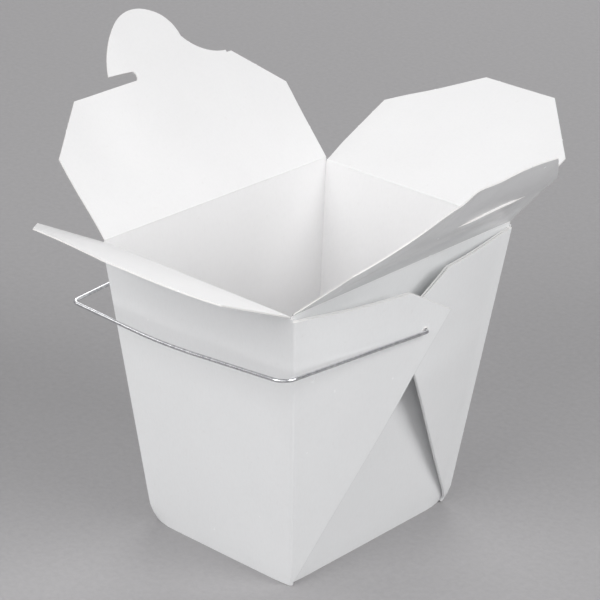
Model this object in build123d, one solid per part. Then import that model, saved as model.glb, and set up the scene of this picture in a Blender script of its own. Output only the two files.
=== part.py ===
from build123d import *
import os
from math import acos, atan2, cos, degrees, radians, sin, tan

# A folded paperboard food pail with four open top flaps and a wire bail.
# Millimetres, Z up. The origin is the middle of the bottom face, which stands on the table.
# X runs across the two gusseted end walls, which carry the bail. Y runs across the two plain side walls.

# board and wire
board = 0.45
wire_radius = 0.6
bail_clearance = 0.08

# folded box, measured over its outer corner folds
base_x = 62.6
base_y = 79.7
rim_x = 82.8
rim_y = 105.9
rim_height = 101.5

# the end flaps crease a little higher, so that they close over the side flaps
end_crease_rise = 0.9
crease_gap = 0.12

# web corners: each is one fold of the sheet, laid back against the end wall
web_gap = 0.3
web_rest_gap = 0.05
web_fold_ease = 2.0
outer_web_fold = 103.0
outer_web_cut = 21.0
outer_web_spread = 10.5
under_web_fold = 101.0
under_web_cut = 26.0
under_web_spread = 6.0
web_top_drop = 0.9

# side flaps: plain, with two long clipped corners
side_flap_margin = 0.45
side_flap_side = 32.6
side_flap_depth = 57.0
side_flap_top_half = 14.8
side_flap_top_shift = 2.3
front_flap_tilt = 64.0
back_flap_tilt = 65.0

# end flaps: a tongue on one and a slit for it in the other
end_flap_inset = 0.6
end_flap_side = 29.6
end_flap_clip = 16.6
end_flap_depth = 46.0
tab_flap_tilt = 40.0
slot_flap_tilt = 43.0
slot_flap_depth = 48.0
slit_depth = 24.0
slit_middle = 23.8
slit_length = 34.6
slit_width = 0.5

# tongue, measured along the crease from its middle and outward from the shoulder
tongue_height = 23.7
hook_tip = -18.7
hook_root = -7.7
notch_width = 3.4
notch_round = 1.2
crown_middle = 3.2
crown_half = 8.1
crown_round = 2.3
waist = 18.1
waist_height = 10.2
tongue_end = 33.6

# bail
bail_hole_height = 83.4
bail_reach = 62.5
bail_bow = 4.2
bail_bow_radius = 150.0
bail_arm_gap = 0.75
near_bend_x = 46.5
near_bend_radius = 5.0
near_arm_rise = 2.2
far_bend_x = -44.5
far_bend_radius = 2.8
far_arm_rise = -0.6
hook_bend_radius = 1.2
hook_length = 5.0
hook_wall_gap = 2.0

# derived sizes
web_stack = 2 * board + web_gap
corner_radius = (web_stack + web_rest_gap + board) / 2
end_wall_inset = web_stack + web_rest_gap
end_crease = rim_height + end_crease_rise
wall_top_drop = board / 2 + crease_gap


def unit(v):
    return v.normalized()


def corner(sx, sy, z):
    """A point on the outer line of a corner fold, at the height z."""
    part_up = z / rim_height
    half_x = (base_x + (rim_x - base_x) * part_up) / 2
    half_y = (base_y + (rim_y - base_y) * part_up) / 2
    return Vector(sx * half_x, sy * half_y, z)


def plate(points, inward, thickness):
    """A flat piece of board with these corners on its outer face."""
    face = Face(Wire.make_polygon(points, close=True))
    return extrude(face, amount=thickness, dir=inward)


def rod(start, end, radius):
    """A round fold along a straight line."""
    along = end - start
    return Solid.make_cylinder(radius, along.length, Plane(origin=start, z_dir=along))


# bottom and walls

end_lean = atan2((rim_x - base_x) / 2, rim_height)
side_lean = atan2((rim_y - base_y) / 2, rim_height)


def bottom():
    inset = end_wall_inset
    return Pos(0, 0, board / 2) * Box(base_x - 2 * inset, base_y, board)


def side_wall(sy):
    """A plain wall. It stops at the corner folds."""
    normal = Vector(0, sy * cos(side_lean), -sin(side_lean))
    top = rim_height - wall_top_drop
    points = []
    for sx, z in ((-1, 0), (1, 0), (1, top), (-1, top)):
        points.append(corner(sx, sy, z) - Vector(sx * corner_radius, 0, 0))
    return plate(points, -normal, board)


def end_wall(sx):
    """The wall behind the webs. Its edges reach into the side walls."""
    normal = Vector(sx * cos(end_lean), 0, -sin(end_lean))
    top = end_crease - wall_top_drop
    points = []
    for sy, z in ((-1, 0), (1, 0), (1, top), (-1, top)):
        inset = Vector(sx * end_wall_inset, sy * board / 2, 0)
        points.append(corner(sx, sy, z) - inset)
    return plate(points, -normal, board)


# web corners

edge = unit(corner(1, 1, rim_height) - corner(1, 1, 0))
side_angle = degrees(acos(-edge.X))
end_angle = degrees(acos(-edge.Y))
# the bottom corner of a flat blank: base, side wall, end wall and web fill a full turn
web_half_angle = (360 - 90 - side_angle - end_angle) / 2 - web_fold_ease


def web_axes(sx, sy, spread):
    """Directions of one web: along its corner fold, away from that fold, and outward."""
    along = unit(corner(sx, sy, rim_height) - corner(sx, sy, 0))
    across = Vector(0, -sy, 0)
    flat = unit(across - along * across.dot(along))
    out = unit(along.cross(flat))
    if out.X * sx < 0:
        out = -out
    turn = radians(spread)
    return along, flat * cos(turn) + out * sin(turn), out * cos(turn) - flat * sin(turn)


def web(sx, sy, spread, fold, cut):
    """Two layers of board joined by a round fold along the web's diagonal."""
    foot = corner(sx, sy, 0)
    along, away, out = web_axes(sx, sy, spread)
    half = radians(web_half_angle)
    tip = (fold * cos(half), fold * sin(half))
    clip = (tip[0] + cut * sin(half), tip[1] - cut * cos(half))
    top = (rim_height - wall_top_drop - web_top_drop) / along.Z
    outline = [
        (corner_radius / tan(half), corner_radius),
        tip,
        clip,
        (top, corner_radius),
    ]
    spots = [foot + along * s + away * w for s, w in outline]
    layers = plate(spots, -out, board)
    lower = [p - out * (board + web_gap) for p in spots]
    layers += plate(lower, -out, board)
    depth = out * (web_stack / 2)
    layers += rod(spots[0] - depth, spots[1] - depth, web_stack / 2)
    side_normal = Vector(0, sy * cos(side_lean), -sin(side_lean))
    inward = (side_normal + out) * (-corner_radius / (1 + side_normal.dot(out)))
    end = foot + along * top
    layers += rod(foot + inward, end + inward, corner_radius)
    return layers


def bail_holes():
    """One round hole through the webs of each end wall, along the bail's axis."""
    start = corner(1, 1, bail_hole_height).X - end_wall_inset + hook_wall_gap
    length = 3 * outer_web_spread
    cuts = []
    for sx in (-1, 1):
        spot = Vector(sx * start, 0, bail_hole_height)
        plane = Plane(origin=spot, z_dir=(sx, 0, 0))
        cuts.append(Solid.make_cylinder(wire_radius + bail_clearance, length, plane))
    return cuts


def pail_body():
    """The folded sheet. On each end wall the front web lies over the back web."""
    webs = web(1, 1, under_web_spread, under_web_fold, under_web_cut)
    webs += web(-1, 1, under_web_spread, under_web_fold, under_web_cut)
    webs += web(1, -1, outer_web_spread, outer_web_fold, outer_web_cut)
    webs += web(-1, -1, outer_web_spread, outer_web_fold, outer_web_cut)
    for hole in bail_holes():
        webs -= hole
    body = bottom()
    for sign in (-1, 1):
        body += side_wall(sign)
        body += end_wall(sign)
    body += webs
    below = Pos(0, 0, -5) * Box(2 * rim_x, 2 * rim_y, 10)
    return body - below


# flaps, drawn flat with the crease along X and the flap towards +Y


def flap(outline, half_width):
    """A flat flap with a round edge along its crease."""
    sheet = extrude(outline, amount=board / 2, both=True)
    crease = rod(Vector(-half_width, 0, 0), Vector(half_width, 0, 0), board / 2)
    return sheet + crease


def clipped_outline(half_width, side, top_half, depth, shift=0):
    """A flap outline with straight sides and two clipped corners."""
    points = [
        (-half_width, 0),
        (half_width, 0),
        (half_width, side),
        (shift + top_half, depth),
        (shift - top_half, depth),
        (-half_width, side),
    ]
    return make_face(Polyline(*points, close=True))


def side_flap_half():
    """The side flaps drop between the end walls when they close."""
    inner = corner(1, 1, rim_height).X - end_wall_inset - board
    return inner - side_flap_margin


def side_flap():
    half = side_flap_half()
    top = side_flap_top_half
    outline = clipped_outline(half, side_flap_side, top, side_flap_depth, side_flap_top_shift)
    return flap(outline, half)


def end_flap_half():
    return rim_y / 2 - end_flap_inset


def tongue():
    """The tongue, hooked on one side and drawn out in a long curve on the other."""
    shoulder = end_flap_depth
    crown = shoulder + tongue_height
    notch = hook_root - notch_round
    notch_top = (notch, shoulder + notch_width)
    notch_end = (hook_root, shoulder + notch_width / 2)
    notch_foot = (notch, shoulder)
    hook = (hook_tip, shoulder + 1.2 * notch_width)
    hook_side = (hook_tip + 0.11 * (waist - hook_tip), shoulder + tongue_height / 2)
    left = (crown_middle - crown_half, crown - crown_round)
    right = (crown_middle + crown_half, crown - crown_round)
    waist_side = (waist - 0.07 * (waist - hook_tip), crown - tongue_height / 4)
    waist_end = (waist, shoulder + waist_height)
    sweep_side = ((3 * waist + 2 * tongue_end) / 5, shoulder + 0.38 * waist_height)
    tail = (tongue_end, shoulder + 0.08 * waist_height)
    curve = Line(notch_foot, (notch, shoulder - 1))
    curve += Line((notch, shoulder - 1), (tongue_end, shoulder - 1))
    curve += Line((tongue_end, shoulder - 1), tail)
    curve += ThreePointArc(tail, sweep_side, waist_end)
    curve += ThreePointArc(waist_end, waist_side, right)
    curve += ThreePointArc(right, (crown_middle, crown), left)
    curve += ThreePointArc(left, hook_side, hook)
    curve += Line(hook, notch_top)
    curve += ThreePointArc(notch_top, notch_end, notch_foot)
    return make_face(curve)


def tab_flap():
    half = end_flap_half()
    outline = clipped_outline(half, end_flap_side, half - end_flap_clip, end_flap_depth)
    return flap(outline + tongue(), half)


def slot_flap():
    half = end_flap_half()
    outline = clipped_outline(half, end_flap_side, half - end_flap_clip, slot_flap_depth)
    outline -= Pos(slit_middle, slit_depth) * SlotOverall(slit_length, slit_width)
    return flap(outline, half)


def place(shape, spot, along, outward, tilt):
    """Set a flat flap on its crease, leaning outward from upright by the tilt."""
    up = Vector(0, 0, cos(radians(tilt))) + outward * sin(radians(tilt))
    plane = Plane(origin=spot, x_dir=along, z_dir=along.cross(up))
    return plane.location * shape


def side_crease(sy):
    """The middle of a side wall's crease, in the middle of the board."""
    y = corner(1, 1, rim_height).Y - board / 2
    return Vector(0, sy * y, rim_height)


def end_crease_spot(sx):
    x = corner(1, 1, end_crease).X - end_wall_inset - board / 2
    return Vector(sx * x, 0, end_crease)


# bail


def wire_bail():
    wall = corner(1, 1, bail_hole_height).X - end_wall_inset
    room = corner(1, 1, bail_hole_height).Y
    arm = wall + end_wall_inset + room * tan(radians(outer_web_spread)) + wire_radius + bail_arm_gap
    leg = wall + hook_wall_gap
    reach = bail_reach
    near = bail_hole_height + reach * sin(radians(near_arm_rise))
    far = bail_hole_height + reach * sin(radians(far_arm_rise))
    axis = bail_hole_height
    points = [
        (leg, -hook_length, axis),
        (leg, 0, axis),
        (arm, 0, axis),
        (near_bend_x, -reach, near),
        (0, -reach - bail_bow, (near + far) / 2),
        (far_bend_x, -reach, far),
        (-arm, 0, axis),
        (-leg, 0, axis),
        (-leg, -hook_length, axis),
    ]
    hook = hook_bend_radius
    radii = [hook, hook, near_bend_radius, bail_bow_radius, far_bend_radius, hook, hook]
    path = FilletPolyline(*points, radius=radii)
    profile = Plane(origin=points[0], z_dir=(0, 1, 0)) * Circle(wire_radius)
    return sweep(profile, path=path)


def export(name, shape):
    solids = shape.solids()
    node = solids[0] if len(solids) == 1 else Compound(solids)
    export_step(node, "parts/" + name + ".step")
    box = node.bounding_box()
    print(name, len(solids), round(node.volume, 1), box.min, box.max)


os.makedirs("parts", exist_ok=True)
export("pail_body", pail_body())
x_way = Vector(1, 0, 0)
y_way = Vector(0, 1, 0)
export("front_flap", place(side_flap(), side_crease(-1), -x_way, -y_way, front_flap_tilt))
export("back_flap", place(side_flap(), side_crease(1), x_way, y_way, back_flap_tilt))
export("tab_flap", place(tab_flap(), end_crease_spot(-1), y_way, -x_way, tab_flap_tilt))
export("slot_flap", place(slot_flap(), end_crease_spot(1), y_way, x_way, slot_flap_tilt))
export("wire_bail", wire_bail())
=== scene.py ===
import math
import random

import bmesh
import bpy
from mathutils import Matrix, Vector, noise


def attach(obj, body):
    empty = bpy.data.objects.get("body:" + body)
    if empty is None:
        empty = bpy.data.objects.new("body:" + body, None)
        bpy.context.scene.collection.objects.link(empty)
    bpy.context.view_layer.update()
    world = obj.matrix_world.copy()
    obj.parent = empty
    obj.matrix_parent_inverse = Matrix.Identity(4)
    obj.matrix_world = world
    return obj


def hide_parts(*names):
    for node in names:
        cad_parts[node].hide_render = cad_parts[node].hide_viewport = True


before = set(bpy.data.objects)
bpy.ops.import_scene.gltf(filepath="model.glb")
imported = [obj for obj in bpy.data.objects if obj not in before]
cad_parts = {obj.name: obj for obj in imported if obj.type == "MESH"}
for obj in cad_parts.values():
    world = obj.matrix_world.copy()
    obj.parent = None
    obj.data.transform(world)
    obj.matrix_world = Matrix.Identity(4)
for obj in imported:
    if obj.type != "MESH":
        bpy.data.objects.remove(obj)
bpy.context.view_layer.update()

random.seed(7)
MM = 0.001

# the folded box, in metres over its outer corner folds
BASE_X, BASE_Y = 0.0626, 0.0797
RIM_X, RIM_Y = 0.0828, 0.1059
RIM_Z = 0.1015
END_CREASE_Z = 0.1024
BAIL_AXIS_Z = 0.0834
SIDE_CREASE_HALF, END_CREASE_HALF = 0.0393, 0.05235
BOARD = 0.45 * MM
WALL_INSET = 1.25 * MM
OUTER_SPREAD, UNDER_SPREAD = 10.5, 6.0
WEB_HALF_ANGLE = 36.52

# noise scales of the materials
CLOUD_SCALE, FIBRE_SCALE, FLECK_SCALE = 45, 1400, 620
SHEEN_SCALE, WAVE_SCALE, TOOTH_SCALE = 160, 70, 1900
LAYER_SCALE, STAIN_SCALE, CUT_TOOTH_SCALE, CUT_SHEEN_SCALE = 2600, 120, 3000, 800
SPANGLE_SCALE, SPOT_SCALE, WIRE_SHEEN_SCALE, PIT_SCALE = 700, 260, 420, 1300
CARD_SCALE, CARD_TOOTH_SCALE = 420, 900

X = Vector((1, 0, 0))
Y = Vector((0, 1, 0))
Z = Vector((0, 0, 1))


def clamp(value):
    return max(0.0, min(1.0, value))


def ease(value):
    value = clamp(value)
    return value * value * (3 - 2 * value)


# materials


class Tree:
    """Short calls for building a material's nodes."""

    def __init__(self, name):
        self.material = bpy.data.materials.new(name)
        self.material.use_nodes = True
        self.nodes = self.material.node_tree.nodes
        self.links = self.material.node_tree.links
        self.shader = self.nodes["Principled BSDF"]
        self.coords = self.nodes.new("ShaderNodeTexCoord").outputs["Object"]

    def add(self, kind, **values):
        node = self.nodes.new(kind)
        for key, value in values.items():
            if hasattr(node, key):
                setattr(node, key, value)
            else:
                node.inputs[key].default_value = value
        return node

    def noise(self, scale, detail=3.0, roughness=0.5, stretch=(1, 1, 1)):
        mapping = self.add("ShaderNodeMapping")
        mapping.inputs["Scale"].default_value = stretch
        self.links.new(self.coords, mapping.inputs["Vector"])
        node = self.add("ShaderNodeTexNoise")
        node.inputs["Scale"].default_value = scale
        node.inputs["Detail"].default_value = detail
        node.inputs["Roughness"].default_value = roughness
        self.links.new(mapping.outputs["Vector"], node.inputs["Vector"])
        return node.outputs["Fac"]

    def ramp(self, source, stops):
        node = self.add("ShaderNodeValToRGB")
        elements = node.color_ramp.elements
        while len(elements) < len(stops):
            elements.new(0.5)
        for element, (place, colour) in zip(elements, stops):
            element.position = place
            element.color = (*colour, 1)
        self.links.new(source, node.inputs["Fac"])
        return node.outputs["Color"]

    def multiply(self, a, b, amount=1.0):
        node = self.add("ShaderNodeMix", data_type="RGBA", blend_type="MULTIPLY")
        node.inputs["Factor"].default_value = amount
        self.links.new(a, node.inputs["A"])
        self.links.new(b, node.inputs["B"])
        return node.outputs["Result"]

    def range(self, source, low, high):
        node = self.add("ShaderNodeMapRange")
        node.inputs["To Min"].default_value = low
        node.inputs["To Max"].default_value = high
        self.links.new(source, node.inputs["Value"])
        return node.outputs["Result"]

    def bump(self, source, strength, distance, under=None):
        node = self.add("ShaderNodeBump")
        node.inputs["Strength"].default_value = strength
        node.inputs["Distance"].default_value = distance
        self.links.new(source, node.inputs["Height"])
        if under is not None:
            self.links.new(under, node.inputs["Normal"])
        return node.outputs["Normal"]


def grey(level, warm=0.0):
    return (level * (1 + warm), level, level * (1 - warm))


def shade(colour, share):
    return tuple(c * share for c in colour)


def board_material(name, colour, rough_low, rough_high, tooth):
    """White coated board: faint cloudy formation, fibre tooth and a few tiny flecks."""
    t = Tree(name)
    cloud = t.ramp(t.noise(CLOUD_SCALE, 4), [(0.3, shade(colour, 0.982)), (0.7, colour)])
    threads = t.noise(FIBRE_SCALE, 3, 0.6, (1, 1, 0.35))
    fibre = t.ramp(threads, [(0.25, grey(0.978)), (0.6, grey(1.0))])
    specks = t.noise(FLECK_SCALE, 2, 0.4)
    fleck = t.ramp(specks, [(0.24, grey(0.975, 0.004)), (0.3, grey(1.0))])
    mixed = t.multiply(t.multiply(cloud, fibre), fleck)
    t.links.new(mixed, t.shader.inputs["Base Color"])
    sheen = t.range(t.noise(SHEEN_SCALE, 4), rough_low, rough_high)
    t.links.new(sheen, t.shader.inputs["Roughness"])
    slow = t.bump(t.noise(WAVE_SCALE, 2), 0.25, 0.12 * MM)
    fine = t.bump(t.noise(TOOTH_SCALE, 4, 0.6), tooth, 0.02 * MM, slow)
    t.links.new(fine, t.shader.inputs["Normal"])
    t.shader.inputs["Specular IOR Level"].default_value = 0.65
    return t.material


def edge_material(name, colour):
    """The cut edge of the board: uncoated, rough and a little warmer."""
    t = Tree(name)
    pulp = t.noise(LAYER_SCALE, 4, 0.7)
    layers = t.ramp(pulp, [(0.3, shade(colour, 0.93)), (0.65, colour)])
    slow = t.ramp(t.noise(STAIN_SCALE, 2), [(0.3, grey(0.97)), (0.7, grey(1.0))])
    t.links.new(t.multiply(layers, slow), t.shader.inputs["Base Color"])
    torn = t.bump(t.noise(CUT_TOOTH_SCALE, 3, 0.7), 0.5, 0.04 * MM)
    t.links.new(torn, t.shader.inputs["Normal"])
    dull = t.range(t.noise(CUT_SHEEN_SCALE, 2), 0.75, 0.95)
    t.links.new(dull, t.shader.inputs["Roughness"])
    return t.material


def wire_material():
    """Bright wire with a thin zinc coat: soft spangle, pits and small dull spots."""
    t = Tree("wire_zinc")
    grains = t.noise(SPANGLE_SCALE, 3, 0.6)
    spangle = t.ramp(grains, [(0.3, (0.6, 0.61, 0.63)), (0.65, (0.82, 0.83, 0.84))])
    spots = t.ramp(t.noise(SPOT_SCALE, 2), [(0.28, grey(0.8)), (0.42, grey(1.0))])
    t.links.new(t.multiply(spangle, spots), t.shader.inputs["Base Color"])
    t.shader.inputs["Metallic"].default_value = 1.0
    sheen = t.range(t.noise(WIRE_SHEEN_SCALE, 4), 0.1, 0.26)
    t.links.new(sheen, t.shader.inputs["Roughness"])
    t.links.new(t.bump(t.noise(PIT_SCALE, 3), 0.7, 0.06 * MM), t.shader.inputs["Normal"])
    return t.material


OUTSIDE = board_material("board_outside", (0.918, 0.924, 0.928), 0.2, 0.3, 0.1)
INSIDE = board_material("board_inside", (0.9, 0.894, 0.896), 0.34, 0.46, 0.1)
EDGE = edge_material("board_cut_edge", (0.9, 0.885, 0.87))
FOLD = board_material("board_fold", (0.9, 0.9, 0.9), 0.5, 0.68, 0.4)
WIRE = wire_material()


# meshes

WELD = 0.002 * MM
# places of the three materials on every board piece
OUTER_FACE, CUT_FACE, INNER_FACE = 0, 1, 2


def merged_copy(node):
    """The CAD node's own surface, welded, as a bmesh in the row frame."""
    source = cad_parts[node]
    bm = bmesh.new()
    bm.from_mesh(source.data)
    bm.transform(source.matrix_world)
    bmesh.ops.remove_doubles(bm, verts=bm.verts, dist=WELD)
    return bm


def slice_along(bm, direction, low, high, step):
    """Cuts the surface across a direction at even distances, so that it can bend."""
    count = int((high - low) / step)
    for k in range(1, count + 1):
        geom = bm.verts[:] + bm.edges[:] + bm.faces[:]
        spot = direction * (low + k * step)
        bmesh.ops.bisect_plane(
            bm, geom=geom, dist=WELD / 2, plane_co=spot, plane_no=direction
        )


def finish_piece(bm, name, body, materials, sharp=32):
    """Makes an object of the bmesh, smooth except at its real edges."""
    bmesh.ops.triangulate(bm, faces=[f for f in bm.faces if len(f.verts) > 4])
    bmesh.ops.recalc_face_normals(bm, faces=bm.faces)
    limit = math.radians(sharp)
    for f in bm.faces:
        f.smooth = True
    for e in bm.edges:
        e.smooth = len(e.link_faces) == 2 and e.calc_face_angle(0) < limit
    mesh = bpy.data.meshes.new(name)
    bm.to_mesh(mesh)
    bm.free()
    for m in materials:
        mesh.materials.append(m)
    obj = bpy.data.objects.new(name, mesh)
    bpy.context.scene.collection.objects.link(obj)
    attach(obj, body)
    return obj


def corner(sx, sy, z):
    part = z / RIM_Z
    half_x = (BASE_X + (RIM_X - BASE_X) * part) / 2
    half_y = (BASE_Y + (RIM_Y - BASE_Y) * part) / 2
    return Vector((sx * half_x, sy * half_y, z))


def ripple(p, size, reach):
    """A small smooth random lift, the same on every run."""
    return size * noise.noise(Vector(p) / reach)


# flaps

CREASE_X = corner(1, 1, END_CREASE_Z).x - WALL_INSET - BOARD / 2
CREASE_Y = RIM_Y / 2 - BOARD / 2


# how far the flaps bend: leans in degrees, the rest in metres
TAB_BOW, TAB_SIDE = 0.5 * MM, 1.5 * MM
BACK_BOW, BACK_TUCK = 0.35 * MM, 0.55 * MM
FRONT_RAISED, FRONT_DROOP = 1.5, 1.9
SLOT_LEAN_OUT, SLOT_LEAN_BACK = 6.1, 2.4
SLOT_CURL, SLOT_UPPER, SLOT_TAKE_UP = 0.5 * MM, 2.2 * MM, 3.0 * MM
RIDGE_SIZE, RIDGE_PEAK, RIDGE_END = 1.05 * MM, 0.0065, 0.0225
SLIT_START, SLIT_LENGTH, SLIT_DEPTH = 0.0065, 0.0346, 0.024
SLIT_OPENING, UPPER_LIP = 0.34 * MM, 0.7
LIP_LOW, LIP_HIGH, LIP_REACH = 0.012, 0.036, 0.0115
COCKLE_REACH = 0.03


class Flap:
    """A flap's flat frame: u along its crease, v away from the crease, w through it."""

    def __init__(self, node, body, spot, along, outward, tilt, inner):
        self.node = node
        self.body = body
        self.spot = spot
        self.along = along
        a = math.radians(tilt)
        self.up = Z * math.cos(a) + outward * math.sin(a)
        self.normal = along.cross(self.up)
        self.inner = inner
        axes = Matrix((self.along, self.up, self.normal)).transposed().to_4x4()
        self.place = Matrix.Translation(spot) @ axes


def cockle(u, v, row, size):
    """The faint unevenness of a flap's board, none at its crease."""
    return ripple((u, v, row), size, COCKLE_REACH) * ease(v / 0.012)


def tab_lift(u, v):
    """The whole flap bows outward, and its left side a little more."""
    bow = TAB_BOW * ease(v / 0.06) * math.sin(math.pi * clamp((u + 0.05) / 0.1))
    side = TAB_SIDE * ease(v / 0.03) * ease((-u - 0.008) / 0.03)
    return cockle(u, v, 0.3, 0.12 * MM) - bow - side


def back_lift(u, v):
    """The middle bows outward and the two sides tuck in."""
    bow = BACK_BOW * ease(v / 0.05) * math.cos(u / 0.03)
    tuck = BACK_TUCK * ease((abs(u) - 0.024) / 0.012) * ease(v / 0.01)
    return cockle(u, v, 1.3, 0.12 * MM) - bow + tuck


def front_lift(u, v):
    """The side by the near corner droops at once; the rest stands a little higher."""
    raised = math.tan(math.radians(FRONT_RAISED)) * v * ease((u + 0.035) / 0.05)
    droop = math.tan(math.radians(FRONT_DROOP)) * v * ease((-0.010 - u) / 0.030)
    return raised - droop + cockle(u, v, 2.3, 0.1 * MM)


def slot_ridge(u, v):
    """The strip below the slit stands steeper: a low ridge, sharp at its right end."""
    size = RIDGE_SIZE * ease((u + 0.050) / 0.03) * clamp((0.0485 - u) / 0.003)
    if v < RIDGE_PEAK:
        return size * (v / RIDGE_PEAK)
    return size * clamp((RIDGE_END - v) / (RIDGE_END - RIDGE_PEAK))


def slot_gap(u, v):
    """The slit stands open: its lower lip leans out and its upper lip leans in."""
    share = clamp((u - SLIT_START) / SLIT_LENGTH)
    size = SLIT_OPENING * ease(share / 0.25) * ease((1 - share) / 0.25)
    if v < SLIT_DEPTH:
        return -size * ease((v - LIP_LOW) / LIP_REACH)
    return UPPER_LIP * size * ease((LIP_HIGH - v) / LIP_REACH)


def slot_lift(u, v):
    """The near half leans out further than the far one, and the rest curls."""
    near = SLOT_LEAN_OUT * ease((-0.006 - u) / 0.048)
    far = SLOT_LEAN_BACK * ease((u - 0.005) / 0.03)
    lean = math.radians(near - far)
    wave = math.sin(math.pi * clamp((v - 0.022) / 0.026))
    curl = SLOT_CURL * wave * ease((u + 0.02) / 0.03)
    middle = ease((u + 0.017) / 0.016) * ease((0.040 - u) / 0.028)
    upper = SLOT_UPPER * clamp((v - 0.02) / 0.028) * middle
    level = slot_ridge(u, v) + upper - curl - math.tan(lean) * v + slot_gap(u, v)
    return level + cockle(u, v, 3.3, 0.08 * MM)


def slot_slide(u, v):
    """The bend takes up a little of the flap's depth."""
    return 0, -SLOT_TAKE_UP * ease(v / 0.021) * ease((u + 0.025) / 0.03)


def tab_slide(u, v):
    """The tab flap is a little wider than its crease and sits to the left."""
    return 0.006 * u - 0.4 * MM * ease(v / 0.02), 0


def back_slide(u, v):
    """The back flap stretches a little, in step with its bow."""
    return 0.002 * u, 0.012 * v


def front_slide(u, v):
    """The front flap keeps its outline."""
    return 0.0, 0.0


FLAPS = {
    "front": (
        Flap("front_flap", "front_leaf", Vector((0, -CREASE_Y, RIM_Z)), -X, -Y, 64.0, 1),
        front_lift,
        front_slide,
    ),
    "back": (
        Flap("back_flap", "back_leaf", Vector((0, CREASE_Y, RIM_Z)), X, Y, 65.0, 1),
        back_lift,
        back_slide,
    ),
    "tab": (
        Flap("tab_flap", "tab_leaf", Vector((-CREASE_X, 0, END_CREASE_Z)), Y, -X, 40.0, 1),
        tab_lift,
        tab_slide,
    ),
    "slot": (
        Flap("slot_flap", "slot_leaf", Vector((CREASE_X, 0, END_CREASE_Z)), Y, X, 43.0, -1),
        slot_lift,
        slot_slide,
    ),
}

# Small burrs left where the die's knife was bridged. Each is the start and end of
# an edge, in millimetres of the flap's u and v, and the burr's place along it.
NICKS = {
    "tab": [((-52.35, 29.6), (-35.75, 46.0), 0.5), ((-52.35, 29.6), (-35.75, 46.0), 0.62),
            ((35.75, 46.0), (52.35, 29.6), 0.45), ((52.35, 0.0), (52.35, 29.6), 0.4)],
    "back": [((-39.25, 0), (-39.25, 32.6), 0.55), ((-39.25, 0), (-39.25, 32.6), 0.8),
             ((-39.25, 32.6), (-12.5, 57.0), 0.5), ((-12.5, 57.0), (17.1, 57.0), 0.2),
             ((39.25, 32.6), (17.1, 57.0), 0.3), ((39.25, 0), (39.25, 32.6), 0.75)],
    "front": [((-39.25, 32.6), (-12.5, 57.0), 0.35), ((39.25, 0), (39.25, 32.6), 0.6)],
    "slot": [((-52.35, 0), (-52.35, 29.6), 0.55), ((-35.75, 48.0), (35.75, 48.0), 0.3),
             ((-35.75, 48.0), (35.75, 48.0), 0.82), ((52.35, 0), (52.35, 29.6), 0.5)],
}


NICK_HALF, NICK_HEIGHT, NICK_SUNK = 0.55 * MM, 0.25 * MM, 0.05 * MM
NICK_POINTS = 7


def add_nick(bm, start, end, share):
    """One burr: a low rounded bump of board on a cut edge."""
    start, end = Vector((*start, 0)) * MM, Vector((*end, 0)) * MM
    way = (end - start).normalized()
    middle = start.lerp(end, share)
    away = Vector((way.y, -way.x, 0))
    if away.dot(middle - Vector((0, 0.02, 0))) < 0:
        away = -away
    rows = []
    for w in (-BOARD * 0.42, BOARD * 0.42):
        row = []
        for k in range(NICK_POINTS):
            x = -1 + 2 * k / (NICK_POINTS - 1)
            lift = NICK_HEIGHT * (1 - x * x) * random.uniform(0.8, 1.1) - NICK_SUNK
            spot = middle + way * x * NICK_HALF + away * lift + Vector((0, 0, w))
            row.append(bm.verts.new(spot))
        rows.append(row)
    for k in range(NICK_POINTS - 1):
        bm.faces.new((rows[0][k], rows[0][k + 1], rows[1][k + 1], rows[1][k]))
    bm.faces.new(rows[0])
    bm.faces.new(rows[1][::-1])
    bm.faces.new((rows[0][-1], rows[0][0], rows[1][0], rows[1][-1]))


def make_flap(name):
    """The CAD flap's own surface, cut fine, marked, nicked and bent."""
    flap, lift, slide = FLAPS[name]
    bm = merged_copy(flap.node)
    bm.transform(flap.place.inverted())
    slice_along(bm, X, -0.054, 0.054, 0.0024)
    slice_along(bm, Y, -0.0005, 0.072, 0.002)
    for f in bm.faces:
        f.normal_update()
        through = f.normal.z * flap.inner
        if abs(through) < 0.5:
            f.material_index = CUT_FACE
        else:
            f.material_index = INNER_FACE if through > 0 else OUTER_FACE
    for start, end, share in NICKS[name]:
        add_nick(bm, start, end, share)
    for vert in bm.verts:
        u, v, w = vert.co
        rise = lift(u, v) * ease(v / 0.003) * flap.inner
        du, dv = slide(u, v)
        vert.co = flap.place @ Vector((u + du, v + dv, w + rise))
    materials = (OUTSIDE, EDGE, INSIDE)
    piece = finish_piece(bm, name + "_flap_sheet", flap.body, materials)
    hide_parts(flap.node)
    return piece


for flap_name in FLAPS:
    make_flap(flap_name)


# pail body


def web_frame(sx, sy, spread):
    """A web's foot, and its directions along the corner fold, away and outward."""
    along = (corner(sx, sy, RIM_Z) - corner(sx, sy, 0)).normalized()
    across = Vector((0, -sy, 0))
    flat = (across - along * across.dot(along)).normalized()
    out = along.cross(flat).normalized()
    if out.x * sx < 0:
        out = -out
    turn = math.radians(spread)
    away = flat * math.cos(turn) + out * math.sin(turn)
    return corner(sx, sy, 0), along, away, out * math.cos(turn) - flat * math.sin(turn)


OUTER = [web_frame(sx, -1, OUTER_SPREAD) for sx in (-1, 1)]
UNDER = [web_frame(sx, 1, UNDER_SPREAD) for sx in (-1, 1)]
WEB_SLOPE = math.tan(math.radians(WEB_HALF_ANGLE))
# a web bends from this distance off its corner fold
FOLD_REACH = 0.006
OUTER_BULGE, OUTER_DENT, UNDER_BULGE = 1.25 * MM, 0.35 * MM, 1.2 * MM
WALL_BOW = 0.35 * MM
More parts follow.
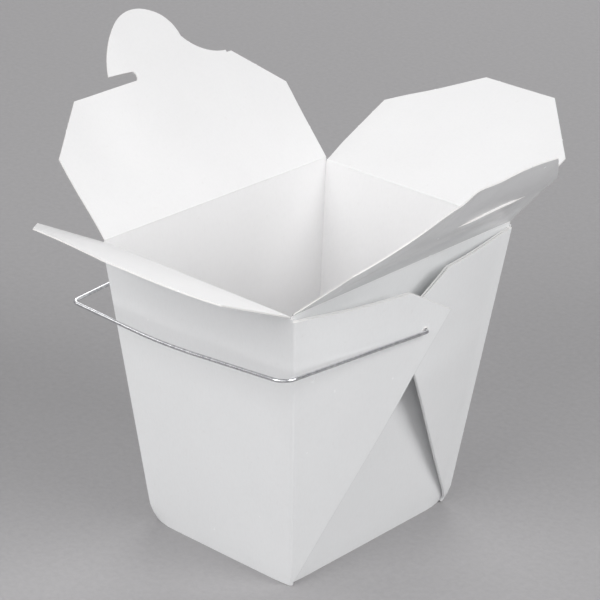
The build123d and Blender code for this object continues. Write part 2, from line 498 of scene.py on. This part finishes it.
# bottom corners: side signs and how far each is pressed in, in millimetres
SOFT_CORNERS = ((-1, -1, 1.3), (1, 1, 1.3), (-1, 1, 1.3), (1, -1, 0.4))


def web_place(p, web):
    """Along, away and outward distances of a point in a web's frame."""
    foot, along, away, out = web
    d = p - foot
    return d.dot(along), d.dot(away), d.dot(out)


def on_web(p, web):
    """Whether a point is on either layer of a web."""
    s, w, d = web_place(p, web)
    inside = FOLD_REACH < w < s * WEB_SLOPE + 0.0014
    return inside and -1.32 * MM < d < 0.1 * MM and s > 0.008


def body_shift(p):
    """The soft bends of the folded sheet: webs bulge, plain walls bow a little."""
    for web in OUTER:
        if on_web(p, web):
            s, w, d = web_place(p, web)
            wave = math.sin(math.pi * clamp((w - FOLD_REACH) / 0.042))
            bulge = OUTER_BULGE * wave * ease(s / 0.1)
            pit = math.exp(-(((w - 0.052) / 0.004) ** 2))
            dent = OUTER_DENT * pit * ease((s - 0.07) / 0.02)
            return web[3] * (bulge - dent)
    for web in UNDER:
        if on_web(p, web):
            s, w, d = web_place(p, web)
            wave = math.sin(math.pi * clamp((w - FOLD_REACH) / 0.052))
            bulge = UNDER_BULGE * wave * ease(s / 0.1)
            # low down, the under web stands a little further out and over
            lift = 0.03 * w * ease((0.076 - p.z) / 0.016)
            return web[3] * (bulge + lift) + web[2] * (0.83 * lift)
    soft = Vector((0, 0, 0))
    for sx, sy, size in SOFT_CORNERS:
        away = Vector((sx * BASE_X / 2 - p.x, sy * BASE_Y / 2 - p.y, 0)).length
        share = clamp(1 - p.z / 0.007) ** 2 * clamp(1 - away / 0.010) ** 2
        soft -= Vector((sx, sy, -0.35)) * (size * MM * share)
    height = clamp(p.z / RIM_Z)
    edge = corner(1, 1, p.z)
    belly = math.sin(math.pi * height)
    if abs(p.y) > edge.y - 0.7 * MM and abs(p.x) < edge.x - 0.8 * MM:
        middle = math.cos(math.pi / 2 * clamp(abs(p.x) / edge.x))
        return soft + Vector((0, math.copysign(WALL_BOW * belly * middle, p.y), 0))
    return soft


def make_body():
    """The CAD box's own surface, cut fine, marked and bent."""
    bm = merged_copy("pail_body")
    slice_along(bm, X, -0.052, 0.052, 0.004)
    slice_along(bm, Y, -0.054, 0.054, 0.003)
    slice_along(bm, Z, 0.0, 0.103, 0.003)
    for f in bm.faces:
        f.normal_update()
        c = f.calc_center_median()
        edge = corner(1, 1, c.z)
        radial = Vector((c.x / edge.x, c.y / edge.y, 0))
        wall_inside = f.normal.dot(radial) < -0.1 and abs(c.x) < edge.x - WALL_INSET
        bottom_inside = c.z < 0.001 and f.normal.z > 0
        if f.normal.z > 0.75 and c.z > 0.06:
            f.material_index = CUT_FACE
        elif wall_inside or bottom_inside:
            f.material_index = INNER_FACE
    for vert in bm.verts:
        p = vert.co.copy()
        vert.co = p + body_shift(p)
    piece = finish_piece(bm, "pail_sheet", "pail", (OUTSIDE, EDGE, INSIDE))
    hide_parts("pail_body")
    return piece


make_body()


# creases: the pressed line of board that joins each flap to its wall

CREASE_STEPS, CREASE_RING, CREASE_RADIUS = 60, 14, 0.34 * MM


def crease(name, start, end, down):
    """A slim ridge on the crease, with its foot on the wall."""
    bm = bmesh.new()
    way = (end - start).normalized()
    side = way.cross(down).normalized()
    rings = []
    for k in range(CREASE_STEPS + 1):
        spot = start.lerp(end, k / CREASE_STEPS)
        taper = 0.75 + 0.25 * ease(min(k, CREASE_STEPS - k) / 2)
        swell = 1 + 0.06 * noise.noise(spot / 0.004)
        row = []
        for j in range(CREASE_RING):
            a = 2 * math.pi * j / CREASE_RING
            r = CREASE_RADIUS * swell * taper
            point = spot + side * (r * math.cos(a)) - down * (r * math.sin(a))
            if math.sin(a) < -0.3:
                point += down * 0.12 * MM
            row.append(bm.verts.new(point))
        rings.append(row)
    for a, b in zip(rings, rings[1:]):
        for j in range(CREASE_RING):
            after = (j + 1) % CREASE_RING
            bm.faces.new((a[j], a[after], b[after], b[j]))
    bm.faces.new(rings[0])
    bm.faces.new(rings[-1][::-1])
    return finish_piece(bm, name, "pail", (FOLD,), 50)


for sign, side_name in ((-1, "front"), (1, "back")):
    crease(
        "crease_" + side_name,
        Vector((-sign * SIDE_CREASE_HALF, sign * CREASE_Y, RIM_Z)),
        Vector((sign * SIDE_CREASE_HALF, sign * CREASE_Y, RIM_Z)),
        -Z,
    )
for sign, side_name in ((-1, "tab"), (1, "slot")):
    crease(
        "crease_" + side_name,
        Vector((sign * CREASE_X, -END_CREASE_HALF, END_CREASE_Z)),
        Vector((sign * CREASE_X, END_CREASE_HALF, END_CREASE_Z)),
        -Z,
    )


# punched holes: a torn rim of board round the wire on each outer web

RIM_POINTS = 28
# radius from the bail's axis and height over the web, in millimetres
RIM_PROFILE = ((0.69, -0.12), (0.72, 0.1), (0.86, 0.2), (1.05, 0.12), (1.25, -0.03))


def join_rings(bm, a, b):
    for j in range(RIM_POINTS):
        after = (j + 1) % RIM_POINTS
        bm.faces.new((a[j], a[after], b[after], b[j]))


def hole_rim(name, web):
    """A ring of torn board that stands a little proud of the web's outer face."""
    foot, out = web[0], web[3]
    bm = bmesh.new()
    rings = []
    for radius, lift in RIM_PROFILE:
        row = []
        for k in range(RIM_POINTS):
            a = 2 * math.pi * k / RIM_POINTS
            wave = noise.noise(Vector((3 * math.cos(a), 3 * math.sin(a), radius)))
            r = radius * MM * (1 + 0.05 * wave)
            y, z = r * math.cos(a), BAIL_AXIS_Z + r * math.sin(a)
            # the web's outer face at this y and z
            d = Vector((0, y, z)) - foot
            x = -(d.y * out.y + d.z * out.z) / out.x + foot.x
            proud = out * lift * MM * random.uniform(0.7, 1.2)
            row.append(bm.verts.new(Vector((x, y, z)) + proud))
        rings.append(row)
    for a, b in zip(rings, rings[1:]):
        join_rings(bm, a, b)
    inner = [bm.verts.new(v.co - out * 0.25 * MM) for v in rings[0]]
    outer = [bm.verts.new(v.co - out * 0.15 * MM) for v in rings[-1]]
    for a, b in ((inner, rings[0]), (rings[-1], outer), (outer, inner)):
        join_rings(bm, a, b)
    return finish_piece(bm, name, "pail", (EDGE,), 60)


hole_rim("hole_rim_left", OUTER[0])
hole_rim("hole_rim_right", OUTER[1])


# wire bail: the CAD shape is right, so it only gets its finish

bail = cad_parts["wire_bail"]
for material_slot in bail.material_slots:
    material_slot.material = WIRE


# floor, light and camera

CAMERA_AT = Vector((0.479292, -0.547828, 0.406189))
CAMERA_RIGHT = Vector((0.7417985, 0.6700692, 0.0272449))
CAMERA_UP = Vector((-0.2942201, 0.2886706, 0.9111003))
CAMERA_BACK = Vector((0.6026355, -0.6838688, 0.4112832))
LENS, SENSOR = 147.6, 36
FLOOR_HALF = 4
CARD_DARK, CARD_PALE = (0.375, 0.367, 0.374), (0.418, 0.41, 0.417)


def floor_material():
    """Plain pale grey card with a faint grain."""
    t = Tree("studio_floor")
    grain = t.ramp(t.noise(CARD_SCALE, 5, 0.75), [(0.3, CARD_DARK), (0.7, CARD_PALE)])
    t.links.new(grain, t.shader.inputs["Base Color"])
    tooth = t.bump(t.noise(CARD_TOOTH_SCALE, 3), 0.2, 0.2 * MM)
    t.links.new(tooth, t.shader.inputs["Normal"])
    t.shader.inputs["Roughness"].default_value = 0.9
    t.shader.inputs["Specular IOR Level"].default_value = 0.1
    return t.material


floor_mesh = bpy.data.meshes.new("floor")
floor_corners = [
    (sx * FLOOR_HALF, sy * FLOOR_HALF, 0) for sx, sy in ((-1, -1), (1, -1), (1, 1), (-1, 1))
]
floor_mesh.from_pydata(floor_corners, [], [(0, 1, 2, 3)])
floor_mesh.materials.append(floor_material())
floor = bpy.data.objects.new("floor", floor_mesh)
bpy.context.scene.collection.objects.link(floor)
floor.location.z = -0.05 * MM


# soft round lamps, all aimed at the pail's middle: place, width and power
LAMP_TARGET = Vector((0, 0, 0.09))
LAMPS = (
    ("right_key", (1.07, 0.2, 0.84), 0.9, 10.6),
    ("front_key", (0.0, -1.16, 0.76), 0.9, 9.8),
    ("camera_fill", (0.79, -0.88, 0.77), 0.9, 2.2),
    ("left_fill", (-0.9, -0.7, 0.9), 1.0, 3.4),
    ("back_fill", (-0.7, 1.0, 0.72), 1.0, 7.2),
)


def area_light(name, at, size, power):
    light = bpy.data.lights.new(name, "AREA")
    light.shape = "DISK"
    light.size = size
    light.energy = power
    obj = bpy.data.objects.new(name, light)
    bpy.context.scene.collection.objects.link(obj)
    obj.location = at
    obj.rotation_mode = "QUATERNION"
    obj.rotation_quaternion = (LAMP_TARGET - Vector(at)).to_track_quat("-Z", "Y")


for lamp in LAMPS:
    area_light(*lamp)

WORLD_LIGHT, WORLD_STRENGTH = (0.95, 0.98, 1.0, 1), 0.12
WORLD_SEEN = (0.335, 0.33, 0.338, 1)


def make_world():
    """A little light from all round, and a plain grey where the world itself is seen."""
    world = bpy.data.worlds.new("studio")
    bpy.context.scene.world = world
    world.use_nodes = True
    nodes, links = world.node_tree.nodes, world.node_tree.links
    light = nodes["Background"]
    light.inputs["Color"].default_value = WORLD_LIGHT
    light.inputs["Strength"].default_value = WORLD_STRENGTH
    seen = nodes.new("ShaderNodeBackground")
    seen.inputs["Color"].default_value = WORLD_SEEN
    seen.inputs["Strength"].default_value = 1.0
    path = nodes.new("ShaderNodeLightPath")
    share = path.outputs["Is Camera Ray"]
    for ray in ("Is Glossy Ray", "Is Transmission Ray"):
        either = nodes.new("ShaderNodeMath")
        either.operation = "MAXIMUM"
        links.new(share, either.inputs[0])
        links.new(path.outputs[ray], either.inputs[1])
        share = either.outputs[0]
    mix = nodes.new("ShaderNodeMixShader")
    links.new(share, mix.inputs[0])
    links.new(light.outputs[0], mix.inputs[1])
    links.new(seen.outputs[0], mix.inputs[2])
    links.new(mix.outputs[0], nodes["World Output"].inputs["Surface"])


make_world()

camera_data = bpy.data.cameras.new("camera")
camera_data.lens = LENS
camera_data.sensor_width = SENSOR
camera_data.clip_start = 0.01
camera = bpy.data.objects.new("camera", camera_data)
bpy.context.scene.collection.objects.link(camera)
columns = Matrix((CAMERA_RIGHT, CAMERA_UP, CAMERA_BACK)).transposed().to_4x4()
camera.matrix_world = Matrix.Translation(CAMERA_AT) @ columns
bpy.context.scene.camera = camera
bpy.context.scene.view_settings.view_transform = "Standard"
